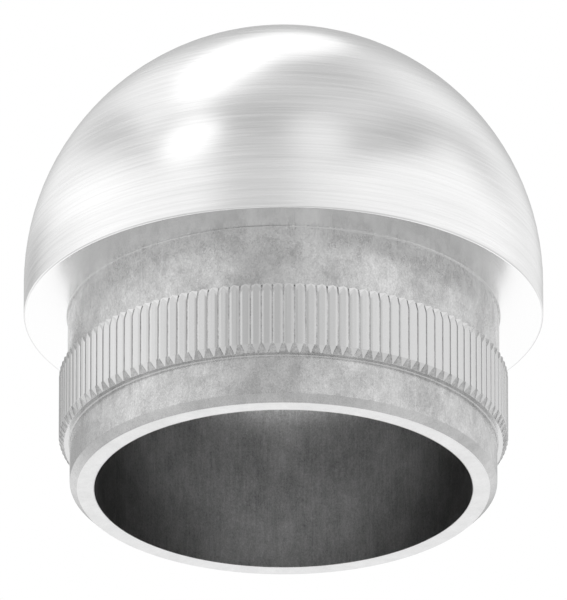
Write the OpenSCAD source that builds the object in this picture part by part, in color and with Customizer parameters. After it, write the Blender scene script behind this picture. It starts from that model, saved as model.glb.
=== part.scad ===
// Domed end cap for a round handrail tube, turned in one piece.
// A hollow spigot presses into the tube, a ring of straight ribs bites into the
// bore, and the dome sits on the tube's cut end and carries on its outline.
// The ribs are narrowed to tips where they enter the bore and gabled above.
// Millimetres. The spigot's end face lies on z = 0 and the dome points up.

/* [Tube] */

// Outside diameter of the tube that the cap closes
tube_diameter = 42.4; // [38:0.1:60]

// Wall thickness of the tube
tube_wall = 3; // [2:0.1:4]

/* [Dome] */

// Height of the straight strip between the shoulder and the dome
strip_height = 3; // [1:0.1:8]

// Radius of the small round on the shoulder's outer edge
edge_round = 0.2; // [0.1:0.05:0.8]

/* [Spigot] */

// Length of the spigot, from the shoulder to its end face
spigot_length = 15.4; // [12:0.1:30]

// Gap between the tube's bore and the plain band under the shoulder
seat_clearance = 0.6; // [0.5:0.05:1]

// Gap between the tube's bore and the plain lead-in band at the end
lead_clearance = 0.8; // [0.6:0.05:1.5]

// Length of the lead-in band, from the end face to the ribbed collar
lead_length = 4; // [2:0.05:5]

// Wall thickness of the spigot at the lead-in band
spigot_wall = 2; // [1.5:0.1:4]

// Chamfer on the outer edge of the end face
end_chamfer = 0.6; // [0.2:0.1:1]

// Fillet in the inner corners at the shoulder and under the collar
corner_fillet = 0.12; // [0.06:0.02:0.2]

/* [Ribbed collar] */

// How much wider the ribs measure than the tube's bore, on the diameter
press_fit = 0.2; // [0.05:0.05:0.4]

// Length of the collar along the spigot, with both tapered ends
collar_length = 6; // [4:0.1:8]

// Length of the collar's tapered end that enters the tube first
entry_taper = 0.6; // [0.4:0.05:1]

// Length of the collar's tapered end towards the shoulder
exit_taper = 0.76; // [0.5:0.02:1.2]

// How far the collar's surface drops over its lower tapered end
entry_drop = 0.33; // [0.25:0.01:0.4]

// How far the collar's surface drops over its upper tapered end
exit_drop = 0.25; // [0.15:0.01:0.35]

// Number of ribs round the collar
rib_count = 128; // [96:4:160]

// Width of the gap between two ribs
rib_gap = 0.15; // [0.1:0.01:0.25]

// Height of a rib's straight sides over the collar's surface
rib_side = 0.05; // [0.03:0.01:0.1]

// Half of the angle that the rounded crest of a rib spans
crest_angle = 20; // [12:1:30]

// Width of the blunt tip in which a rib ends on the side of the end face
tip_width = 0.16; // [0.1:0.02:0.3]

// Height of that tip over the collar's surface
tip_height = 0.05; // [0.03:0.01:0.08]

// Slope of the two bevels that narrow a rib to its tip
bevel_angle = 50; // [40:1:60]

// How far a crest stays short of the collar's upper end, under its gable
gable_inset = 0.12; // [0.05:0.01:0.2]

/* [Hidden] */

steel = "#c9cbcc";
round_steps = 180;
crest_steps = 72;
overlap = 1;

// Radii from the axis outwards, all from the tube's bore
dome_radius = tube_diameter / 2;
tube_bore_radius = dome_radius - tube_wall;
seat_radius = tube_bore_radius - seat_clearance;
lead_radius = tube_bore_radius - lead_clearance;
bore_radius = lead_radius - spigot_wall;
crest_line = tube_bore_radius + press_fit / 2;

// Heights from the end face upwards
collar_bottom = lead_length;
collar_top = collar_bottom + collar_length;
dome_centre = spigot_length + strip_height;

// One rib's section, and the collar that it stands on
rib_pitch = 360 / rib_count;
rib_width = 2 * PI * crest_line / rib_count - rib_gap;
crest_radius = rib_width / 2 / sin(crest_angle);
crest_rise = crest_radius * (1 - cos(crest_angle));
collar_radius = crest_line - crest_rise - rib_side;
entry_radius = collar_radius - entry_drop;
exit_radius = collar_radius - exit_drop;
rib_root = entry_radius - overlap / 4;

// Lower end of a rib: the crest leans in, and two bevels narrow it to the tip
tip_lean = atan((crest_line - entry_radius - tip_height) / entry_taper);
bevel_rise = tan(bevel_angle) * rib_width / 2;
tip_rise = tan(bevel_angle) * tip_width / 2;
bevel_lean = atan((entry_drop + bevel_rise - tip_rise) / entry_taper);

// Upper end of a rib: two gable faces, as steep as the collar's taper below
gable_lean = atan(exit_drop / exit_taper);
gable_rise = crest_rise + (exit_taper - gable_inset) * tan(gable_lean);

// Section of the dome and its strip, with the round on the shoulder's edge
module dome_section() {
    intersection() {
        translate([0, dome_centre]) circle(r = dome_radius, $fn = round_steps);
        translate([0, dome_centre]) square([dome_radius, dome_radius]);
    }
    translate([0, spigot_length + edge_round])
        square([dome_radius, strip_height - edge_round]);
    translate([0, spigot_length])
        square([dome_radius - edge_round, strip_height]);
    translate([dome_radius - edge_round, spigot_length + edge_round])
        circle(r = edge_round, $fn = crest_steps);
}

// Section of the spigot: lead-in band, collar with tapered ends, seat band
module spigot_section() {
    polygon([
        [0, 0],
        [lead_radius - end_chamfer, 0],
        [lead_radius, end_chamfer],
        [lead_radius, collar_bottom],
        [entry_radius, collar_bottom],
        [collar_radius, collar_bottom + entry_taper],
        [collar_radius, collar_top - exit_taper],
        [exit_radius, collar_top],
        [seat_radius, collar_top],
        [seat_radius, spigot_length + overlap],
        [0, spigot_length + overlap]
    ]);
    inner_fillet(seat_radius, spigot_length);
    inner_fillet(lead_radius, collar_bottom);
}

// Fillet between a band and the face that looks down at its upper end
module inner_fillet(radius, height) {
    difference() {
        translate([radius - overlap, height - corner_fillet])
            square([overlap + corner_fillet, 2 * corner_fillet]);
        translate([radius + corner_fillet, height - corner_fillet])
            circle(r = corner_fillet, $fn = crest_steps);
    }
}

// Section of the hollow: a plain bore with a round nose inside the dome
module hollow_section() {
    translate([0, -overlap]) square([bore_radius, dome_centre + overlap]);
    translate([0, dome_centre]) circle(r = bore_radius, $fn = round_steps);
}

// Dome and spigot without the ribs, turned round the axis
module turned_body() {
    rotate_extrude($fn = round_steps) {
        intersection() {
            difference() {
                union() {
                    dome_section();
                    spigot_section();
                }
                hollow_section();
            }
            square([dome_radius + overlap, dome_centre + dome_radius + overlap]);
        }
    }
}

// Straight bar with a round crest, which lies at x = 0 over its whole length
module crested_bar(width, depth, length) {
    linear_extrude(height = length, center = true) {
        intersection() {
            translate([-depth, -width / 2]) square([depth, width]);
            union() {
                translate([-crest_radius, 0]) circle(r = crest_radius, $fn = crest_steps);
                translate([-depth - crest_radius, -crest_radius])
                    square([depth, 2 * crest_radius]);
            }
        }
    }
}

// Long wedge whose ridge leans over the rib. The ridge passes through the given
// radius and height, and there its faces fall by the given rise to the rib's sides
module leaning_wedge(radius, height, lean, rise) {
    fall = 2 * rise * cos(lean);
    depth = fall + 2 * collar_length;
    translate([radius, 0, height]) rotate([0, lean, 0])
        linear_extrude(height = 4 * collar_length, center = true)
            polygon([
                [0, 0],
                [-fall, rib_width],
                [-depth, rib_width],
                [-depth, -rib_width],
                [-fall, -rib_width]
            ]);
}

// One rib, narrowed to a tip at its lower end and gabled at its upper end
module rib() {
    intersection() {
        translate([crest_line, 0, collar_bottom + collar_length / 2])
            crested_bar(rib_width, crest_line - rib_root, collar_length);
        translate([crest_line, 0, collar_bottom + entry_taper]) rotate([0, tip_lean, 0])
            crested_bar(2 * rib_width, collar_length, 4 * collar_length);
        leaning_wedge(
            collar_radius + bevel_rise, collar_bottom + entry_taper,
            bevel_lean, bevel_rise
        );
        leaning_wedge(crest_line, collar_top - gable_inset, -gable_lean, gable_rise);
    }
}

module end_cap() {
    color(steel) {
        union() {
            turned_body();
            for (i = [0 : rib_count - 1]) {
                rotate([0, 0, (i + 0.5) * rib_pitch]) rib();
            }
        }
    }
}

end_cap();
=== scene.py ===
import math

import bpy
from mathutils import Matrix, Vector

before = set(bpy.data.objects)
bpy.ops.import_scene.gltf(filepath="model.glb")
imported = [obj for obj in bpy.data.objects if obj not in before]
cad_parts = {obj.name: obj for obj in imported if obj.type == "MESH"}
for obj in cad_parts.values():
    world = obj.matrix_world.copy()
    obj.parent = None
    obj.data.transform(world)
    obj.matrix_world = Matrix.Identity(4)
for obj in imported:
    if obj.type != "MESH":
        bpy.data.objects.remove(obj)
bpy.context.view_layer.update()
scene = bpy.context.scene

MM_PER_M = 1000.0

# Sizes of the cap in millimetres, as the CAD has them
DOME_CENTRE = 18.4
DOME_RADIUS = 21.2
SHOULDER = 15.4
SEAT_RADIUS = 17.6
LEAD_RADIUS = 17.4
BORE_RADIUS = 15.4
CREST_RADIUS = 18.3
FILLET = 0.12
CHAMFER = 0.6
COLLAR_FOOT, COLLAR_TOP = 4.0, 10.0
ENTRY_TAPER_TOP, EXIT_TAPER_FOOT = 4.6, 9.24
COLLAR_RADIUS = 18.184
ENTRY_RADIUS = 17.854
EXIT_DROP = 0.25
RIB_COUNT = 128
RIB_PITCH = 0.898
RIB_HALF = 0.374
CREST_BEND = 1.094
GABLE_INSET = 0.12

# Outline of a rib's lower tongue: height, half width there, growth of it with height
TONGUE = ((COLLAR_FOOT, 0.039, 0.3967), (ENTRY_TAPER_TOP, 0.277, 0.951))
BEVEL_REACH = 0.11

# Fall of the gable's edge from a rib's middle to its side: straight and squared part
GABLE_FALL = (-0.841, 0.2007)

# Its corners, painted lighter as a highlight, start this far under the collar's top, and fall this
# far sideways
CORNER_INSET, CORNER_FALL = 0.06, 0.36

# Margins in millimetres, by which a finish reaches past its surface or stays off its rim
FACE_MARGIN = 0.02
ROUND_MARGIN = 0.03
LEDGE_MARGIN = 0.01
COLLAR_MARGIN = 0.005
FILLET_MARGIN = 0.012
DOME_MARGIN = 0.24
RIB_MARGIN = 0.022
FLANK_IN, FLANK_OUT = 0.003, 0.005
BORE_MARGIN = 0.05
BAND_MARGIN = 0.08
RIM_MARGIN = 0.1

# The camera looks up at the cap from far away, so that the view is nearly parallel
CAMERA_ELEVATION = -25.0
CAMERA_DISTANCE = 2.0
CAMERA_AIM = (0.0, 0.0, 0.01697)
FRAME_HEIGHT = 0.04897
SENSOR = 36.0

TENT_RADIUS = 0.8
FLOOR_SIZE = 3.0
FLOOR_DEPTH = 0.0001
WHITE = (1.0, 1.0, 1.0, 1.0)
PALE = (0.95, 0.95, 0.95, 1.0)


class Graph:
    """Short ways to write a node tree. Inputs are numbers, colours or sockets."""

    def __init__(self, tree):
        self.tree = tree
        tree.nodes.clear()

    def put(self, socket, value):
        if isinstance(value, bpy.types.NodeSocket):
            self.tree.links.new(value, socket)
        else:
            socket.default_value = value

    def node(self, kind, inputs=(), **settings):
        made = self.tree.nodes.new(kind)
        for name, value in settings.items():
            setattr(made, name, value)
        pairs = inputs.items() if isinstance(inputs, dict) else enumerate(inputs)
        for key, value in pairs:
            self.put(made.inputs[key], value)
        return made

    def math(self, operation, *values):
        return self.node("ShaderNodeMath", values, operation=operation).outputs[0]

    def vector_math(self, operation, *values):
        made = self.node("ShaderNodeVectorMath", operation=operation)
        slots = (0, 3) if operation == "SCALE" else (0, 1)
        for slot, value in zip(slots, values):
            self.put(made.inputs[slot], value)
        return made.outputs[1 if operation in ("DOT_PRODUCT", "LENGTH") else 0]

    def add(self, *values):
        total = values[0]
        for value in values[1:]:
            total = self.math("ADD", total, value)
        return total

    def times(self, *values):
        """The product. Of masks it is where all of them hold."""
        total = values[0]
        for value in values[1:]:
            total = self.math("MULTIPLY", total, value)
        return total

    def over(self, value, limit):
        return self.math("GREATER_THAN", value, limit)

    def under(self, value, limit):
        return self.math("LESS_THAN", value, limit)

    def between(self, value, low, high):
        return self.times(self.over(value, low), self.under(value, high))

    def highest(self, *values):
        total = values[0]
        for value in values[1:]:
            total = self.math("MAXIMUM", total, value)
        return total

    def opposite(self, mask):
        return self.math("SUBTRACT", 1.0, mask)

    def scaled(self, value, low, high, to_low=0.0, to_high=1.0, smooth=False):
        kind = "SMOOTHSTEP" if smooth else "LINEAR"
        return self.node(
            "ShaderNodeMapRange", [value, low, high, to_low, to_high],
            interpolation_type=kind, clamp=True).outputs[0]

    def mix(self, share, low, high):
        inputs = {0: share, 2: low, 3: high}
        return self.node("ShaderNodeMix", inputs, data_type="FLOAT").outputs[0]

    def combine(self, x, y, z):
        return self.node("ShaderNodeCombineXYZ", [x, y, z]).outputs[0]

    def noise(self, vector, scale, detail=2.0, roughness=0.5, distortion=0.0):
        return self.node("ShaderNodeTexNoise", {
            "Vector": vector, "Scale": scale, "Detail": detail,
            "Roughness": roughness, "Distortion": distortion}).outputs[0]

    def stretched_noise(self, vector, stretch, **settings):
        """Noise whose marks are drawn out along Z, the more the smaller stretch is."""
        vector = self.vector_math("MULTIPLY", vector, (1.0, 1.0, stretch))
        return self.noise(vector, **settings)

    def centred(self, value, reach):
        """A noise of 0..1, made into -reach..reach."""
        return self.math("MULTIPLY_ADD", value, 2.0 * reach, -reach)


# The steel: one material, whose finish changes with the place on the cap
steel = bpy.data.materials.new("turned_stainless")
steel.use_nodes = True
g = Graph(steel.node_tree)

place = g.node("ShaderNodeTexCoord").outputs["Object"]
place = g.vector_math("SCALE", place, MM_PER_M)
x, y, z = g.node("ShaderNodeSeparateXYZ", [place]).outputs
flat = g.combine(x, y, 0.0)
r = g.vector_math("LENGTH", flat)
round_dir = g.vector_math("NORMALIZE", flat)
over_centre = g.highest(g.math("SUBTRACT", z, DOME_CENTRE), 0.0)
shell = g.math("SQRT", g.math("MULTIPLY_ADD", over_centre, over_centre, g.times(r, r)))

# Where the turned finishes are
outside = g.over(shell, BORE_RADIUS + BORE_MARGIN)
inside = g.opposite(outside)
dome = g.times(g.over(shell, DOME_RADIUS - DOME_MARGIN), g.over(z, SHOULDER + ROUND_MARGIN))
shoulder = g.times(
    g.over(r, SEAT_RADIUS + RIM_MARGIN),
    g.between(z, SHOULDER - FACE_MARGIN, SHOULDER + ROUND_MARGIN))
ledge = g.times(
    g.between(r, LEAD_RADIUS + RIM_MARGIN, CREST_RADIUS),
    g.between(z, COLLAR_FOOT - FACE_MARGIN, COLLAR_FOOT + LEDGE_MARGIN))
end_face = g.times(outside, g.under(z, FACE_MARGIN))
chamfer = g.times(outside, g.between(z, FACE_MARGIN, CHAMFER - LEDGE_MARGIN))
seat_fillet = g.times(
    g.between(r, SEAT_RADIUS + FILLET_MARGIN, SEAT_RADIUS + BAND_MARGIN),
    g.between(z, SHOULDER - FILLET, SHOULDER - FILLET_MARGIN))
lead_fillet = g.times(
    g.between(r, LEAD_RADIUS + FILLET_MARGIN, LEAD_RADIUS + FILLET),
    g.between(z, COLLAR_FOOT - FILLET, COLLAR_FOOT - FILLET_MARGIN))
fillets = g.highest(seat_fillet, lead_fillet)

# Where the ribs are, and how far a point is from the middle of its rib
turn = g.math("ARCTAN2", y, x)
phase = g.math("FRACT", g.math("MULTIPLY_ADD", turn, RIB_COUNT / math.tau, RIB_COUNT))
aside = g.times(g.math("ABSOLUTE", g.math("SUBTRACT", phase, 0.5)), RIB_PITCH)
collar_floor = g.math(
    "SUBTRACT",
    g.scaled(z, COLLAR_FOOT, ENTRY_TAPER_TOP, ENTRY_RADIUS, COLLAR_RADIUS),
    g.scaled(z, EXIT_TAPER_FOOT, COLLAR_TOP, 0.0, EXIT_DROP))
raised = g.over(r, g.add(collar_floor, RIB_MARGIN))
on_collar = g.times(
    outside, g.between(z, COLLAR_FOOT + COLLAR_MARGIN, COLLAR_TOP - COLLAR_MARGIN),
    g.over(r, SEAT_RADIUS + BAND_MARGIN))
ribs = g.times(on_collar, raised)
gaps = g.times(on_collar, g.opposite(raised))
flanks = g.times(on_collar, g.between(aside, RIB_HALF - FLANK_IN, RIB_HALF + FLANK_OUT))

# The ends of a rib: its gable and the gable's corners above, its two bevels below
sideways = g.math("DIVIDE", aside, RIB_HALF)
gable_edge = g.times(sideways, g.math("MULTIPLY_ADD", sideways, GABLE_FALL[1], GABLE_FALL[0]))
gables = g.over(z, g.add(COLLAR_TOP - GABLE_INSET, gable_edge))
corner_edge = g.math("MULTIPLY_ADD", sideways, -CORNER_FALL, COLLAR_TOP - CORNER_INSET)
painted_corner_highlight = g.over(z, corner_edge)
tongue = g.highest(*[
    g.math("MULTIPLY_ADD", z, growth, half - growth * height)
    for height, half, growth in TONGUE])
bevels = g.times(g.under(z, ENTRY_TAPER_TOP + BEVEL_REACH), g.over(aside, tongue))

# Way along the dome's outline, from the end face up
arc = g.times(g.math("ARCSINE", g.math("DIVIDE", over_centre, DOME_RADIUS)), DOME_RADIUS)
arc = g.add(arc, g.math("MINIMUM", z, DOME_CENTRE))


def belt(turns, pitch, detail, roughness):
    """Lines that run round the dome, as a grinding belt leaves them."""
    along = g.vector_math("SCALE", round_dir, turns)
    spot = g.vector_math("ADD", along, g.combine(0.0, 0.0, g.times(arc, pitch)))
    return g.noise(spot, 1.0, detail, roughness)


lines_fine = belt(turns=4.5, pitch=16.0, detail=3.0, roughness=0.7)
lines_wide = belt(turns=2.2, pitch=2.4, detail=2.0, roughness=0.55)
lines_long = belt(turns=1.3, pitch=4.6, detail=1.0, roughness=0.6)
cloud = g.noise(place, scale=0.16)
dome_tone = g.add(
    0.86, g.centred(lines_fine, 0.11), g.centred(lines_wide, 0.05),
    g.centred(cloud, 0.02), g.centred(lines_long, 0.07))
dome_rough = g.add(0.24, g.centred(lines_fine, 0.09), g.centred(lines_wide, 0.05))

# The spigot's bands keep a mottled skin: clouds, a fine grain and a few light hairlines
SKIN_STRETCH = 0.7
HAIRLINE_STRETCH = 0.03
HAIRLINE_FROM, HAIRLINE_TO = 0.70, 0.80
mottle = g.stretched_noise(
    place, SKIN_STRETCH, scale=0.42, detail=7.0, roughness=0.82, distortion=0.15)
grain = g.stretched_noise(place, SKIN_STRETCH, scale=8.0, roughness=0.9)
hairline = g.stretched_noise(place, HAIRLINE_STRETCH, scale=3.4, detail=1.0)
hairline = g.scaled(hairline, HAIRLINE_FROM, HAIRLINE_TO)
skin = g.add(g.centred(mottle, 0.72), g.centred(grain, 0.42), g.times(hairline, 0.16))


def marked(tone, strength):
    """A tone with the skin's marks in it, at the strength given."""
    return g.times(g.add(1.0, g.times(skin, strength)), tone)


band_tone = marked(0.535, 1.0)
band_rough = g.add(0.26, g.centred(mottle, -0.15))
gap_tone = marked(0.52, 1.4)
face_tone = marked(0.79, 0.3)
chamfer_tone = marked(0.62, 0.5)

# Each rib's edges and its gable's corners are painted lighter than the rib, as painted highlights.
# The bevels beside its tongue are mottled as the floor between the ribs is, and painted darker, as
# painted shade
EDGE_HIGHLIGHT_FROM, EDGE_HIGHLIGHT_TO = 0.08, 0.01
painted_edge_highlight = g.scaled(aside, RIB_HALF - EDGE_HIGHLIGHT_FROM, RIB_HALF - EDGE_HIGHLIGHT_TO)
rib_tone = g.add(0.625, g.centred(grain, 0.03))
rib_tone = g.mix(painted_edge_highlight, rib_tone, 0.64)
rib_tone = g.mix(painted_corner_highlight, rib_tone, 0.71)
# The bevels' tone, darker than the rib's, is painted shade
rib_tone = g.mix(bevels, rib_tone, g.times(gap_tone, 1.1))

# Inside the bore the skin is scratched rather than clouded. Its tone is painted darker
# on the wall than in the nose, as painted shade
SCRATCH_STRETCH = 0.06
NOSE_FROM, NOSE_TO = 12.0, 17.0
scratches = g.stretched_noise(place, SCRATCH_STRETCH, scale=5.5, roughness=0.6)
bore_skin = g.add(g.centred(mottle, 0.7), g.centred(grain, 0.6), g.centred(scratches, 0.25))
bore_painted_shade = g.scaled(z, NOSE_FROM, NOSE_TO, 0.44, 0.88, smooth=True)
bore_tone = g.times(g.add(1.0, bore_skin), bore_painted_shade)

# Each finish: where it is, its tone and its roughness. A later one covers an earlier one
tone = band_tone
rough = band_rough
for mask, new_tone, new_rough in (
    (chamfer, chamfer_tone, 0.25),
    (gaps, gap_tone, 0.3),
    (ribs, rib_tone, 0.2),
    # The ribs' sides get a lighter tone than the floor beside them, a painted highlight over the
    # shade between the ribs
    (flanks, 0.66, 0.3),
    (end_face, face_tone, 0.3),
    (ledge, 0.74, 0.2),
    (fillets, 0.62, 0.25),
    (shoulder, 1.0, 0.24),
    (dome, dome_tone, dome_rough),
    (inside, bore_tone, 0.28),
):
    tone = g.mix(mask, tone, new_tone)
    rough = g.mix(mask, rough, new_rough)

colour = g.node("ShaderNodeCombineColor", [tone, tone, tone], mode="RGB").outputs[0]

# Relief in millimetres: the belt's grooves on the dome, the grain of the skin, and ribs
# with a flat crest and rounded edges
GROOVE_FINE = 0.0008
GROOVE_WIDE = 0.001
GRAIN_RISE = 0.004
CREST_FLATTENING = 0.46
EDGE_START = 0.14
EDGE_ROUNDING = 0.70
TOP_FADE = 0.2
FOOT_FADE = 0.1
grooves = g.add(g.times(lines_fine, GROOVE_FINE), g.times(lines_wide, GROOVE_WIDE))
smooth_parts = g.highest(dome, ribs, shoulder, inside)
on_rib = g.math("MINIMUM", aside, RIB_HALF)
crest_height = g.math("DIVIDE", g.times(on_rib, on_rib, CREST_FLATTENING), CREST_BEND)
past_edge = g.highest(g.math("SUBTRACT", on_rib, EDGE_START), 0.0)
crest_height = g.math("SUBTRACT", crest_height, g.times(past_edge, past_edge, EDGE_ROUNDING))
crest_zone = g.times(
    g.over(r, SEAT_RADIUS + BAND_MARGIN),
    g.scaled(z, COLLAR_TOP - TOP_FADE, COLLAR_TOP, 1.0, 0.0, smooth=True),
    g.scaled(z, COLLAR_FOOT + FOOT_FADE, ENTRY_TAPER_TOP + FOOT_FADE, smooth=True),
    g.under(z, COLLAR_TOP))
relief = g.add(
    g.times(dome, grooves),
    g.times(g.opposite(smooth_parts), g.times(grain, GRAIN_RISE)),
    g.times(crest_zone, crest_height))
bump = g.node("ShaderNodeBump", {
    "Strength": 1.0, "Distance": 1.0 / MM_PER_M, "Height": relief}).outputs[0]

# The tongues, gables and sides of the ribs shade much like their crests, as they would
# if they were rounded over. The bevels keep their own normals, and the normals of the
# crests point a little higher
TONGUE_TURN = 0.6
TURN_FADE = 0.03
FLANK_TURN = 0.85
CREST_LIFT = 0.06
near_tip = g.scaled(
    z, ENTRY_TAPER_TOP - TURN_FADE, ENTRY_TAPER_TOP + TURN_FADE, TONGUE_TURN, 0.0)
tongues = g.times(near_tip, g.opposite(bevels))
turned = g.times(ribs, g.highest(tongues, gables))
turned = g.highest(turned, g.times(flanks, FLANK_TURN))
lift = g.times(ribs, g.math("MULTIPLY_ADD", gables, -CREST_LIFT, CREST_LIFT))
normal = g.vector_math(
    "ADD", g.vector_math("SCALE", bump, g.opposite(turned)),
    g.vector_math("SCALE", round_dir, turned))
normal = g.vector_math("ADD", normal, g.combine(0.0, 0.0, lift))
normal = g.vector_math("NORMALIZE", normal)

surface = g.node("ShaderNodeBsdfPrincipled", {
    "Base Color": colour, "Metallic": 1.0, "Roughness": rough, "Normal": normal})
g.node("ShaderNodeOutputMaterial", [surface.outputs[0]])

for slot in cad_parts["end_cap"].material_slots:
    slot.material = steel


# The light: a white room, and a light tent round the cap
def direction(azimuth, elevation):
    """Unit vector from the cap. Azimuth 0 is -Y, where the camera is, and 90 is +X."""
    a, e = math.radians(azimuth), math.radians(elevation)
    return Vector((math.sin(a) * math.cos(e), -math.cos(a) * math.cos(e), math.sin(e)))


world = bpy.data.worlds.new("white_room")
scene.world = world
world.use_nodes = True
w = Graph(world.node_tree)
w.node("ShaderNodeOutputWorld", [w.node("ShaderNodeBackground", [WHITE, 1.0]).outputs[0]])

# The tent is seen only in the cap's reflections. Its panels: azimuth, elevation,
# half width and half height in degrees, softness of the edge, brightness
PANELS = (
    (0, -50, 75, 45, 0.55, 0.66),
    (-11, 27, 16, 29, 0.52, 0.70),
    (74, 46, 38, 10, 0.95, 0.48),
    (-12, 56, 35, 15, 0.68, 0.56),
    (66, 81, 17, 19, 0.93, 0.59),
    (-110, 48, 27, 5, 0.52, 0.64),
    (-135, 23, 34, 6, 0.61, 0.42),
    (177, 29, 22, 44, 0.70, 0.52),
    (-124, 77, 26, 11, 0.25, 1.41),
    (-48, 45, 11, 11, 0.26, 1.39),
    (-96, 30, 31, 5, 0.95, 1.24),
    (90, 39, 13, 7, 0.94, 1.03),
    (18, 45, 10, 11, 0.66, 0.97),
    (175, 71, 8, 15, 0.25, 1.30),
    (132, 22, 26, 16, 0.5, 0.93),
    (72, 33, 48, 6, 0.7, 1.12),
    (-90, 2, 45, 16, 0.6, 1.15),
    (180, -55, 80, 36, 0.25, 1.05),
    (116, -31, 32, 19, 0.6, 0.72),
    (-116, -31, 32, 19, 0.6, 0.72),
    (0, -24, 50, 12, 0.7, 0.84),
)

bpy.ops.mesh.primitive_uv_sphere_add(segments=64, ring_count=32, radius=TENT_RADIUS)
tent = bpy.context.object
tent.name = "light_tent"
for hidden in ("visible_camera", "visible_diffuse", "visible_shadow", "visible_volume_scatter"):
    setattr(tent, hidden, False)
tent_material = bpy.data.materials.new("tent_panels")
tent_material.use_nodes = True
t = Graph(tent_material.node_tree)
look = t.vector_math("NORMALIZE", t.node("ShaderNodeTexCoord").outputs["Object"])
glow = 1.0
for azimuth, elevation, wide, high, soft, bright in PANELS:
    middle = direction(azimuth, elevation)
    side = direction(azimuth + 90.0, 0.0)
    up = middle.cross(side)
    ahead = t.vector_math("DOT_PRODUCT", look, tuple(middle))
    across = t.math("ARCTAN2", t.vector_math("DOT_PRODUCT", look, tuple(side)), ahead)
    rise = t.math("ARCSINE", t.vector_math("DOT_PRODUCT", look, tuple(up)))
    across = t.math("DIVIDE", across, math.radians(wide))
    rise = t.math("DIVIDE", rise, math.radians(high))
    reach = t.vector_math("LENGTH", t.combine(across, rise, 0.0))
    share = t.scaled(reach, 1.0 - soft, 1.0 + soft, 1.0, 0.0, smooth=True)
    glow = t.mix(share, glow, bright)
t.node("ShaderNodeOutputMaterial", [t.node("ShaderNodeEmission", [WHITE, glow]).outputs[0]])
tent.data.materials.append(tent_material)

# The floor: pale to the camera from above, clear from below and to all other rays
bpy.ops.mesh.primitive_plane_add(size=FLOOR_SIZE, location=(0.0, 0.0, -FLOOR_DEPTH))
floor = bpy.context.object
floor.name = "floor"
floor_material = bpy.data.materials.new("pale_floor")
floor_material.use_nodes = True
f = Graph(floor_material.node_tree)
rays = f.node("ShaderNodeLightPath").outputs
below = f.node("ShaderNodeNewGeometry").outputs["Backfacing"]
seen = f.times(rays["Is Camera Ray"], f.opposite(below))
pale = f.node("ShaderNodeBsdfDiffuse", [PALE]).outputs[0]
clear = f.node("ShaderNodeBsdfTransparent").outputs[0]
f.node("ShaderNodeOutputMaterial", [f.node("ShaderNodeMixShader", [seen, clear, pale]).outputs[0]])
floor.data.materials.append(floor_material)

# The camera
lens = bpy.data.cameras.new("camera")
camera = bpy.data.objects.new("camera", lens)
scene.collection.objects.link(camera)
lens.sensor_width = SENSOR
lens.lens = SENSOR * CAMERA_DISTANCE / FRAME_HEIGHT
lens.clip_start, lens.clip_end = 0.1, 10.0
back = direction(0.0, CAMERA_ELEVATION)
camera.location = Vector(CAMERA_AIM) + back * CAMERA_DISTANCE
camera.rotation_mode = "QUATERNION"
camera.rotation_quaternion = (-back).to_track_quat("-Z", "Y")
scene.camera = camera
scene.view_settings.view_transform = "Standard"
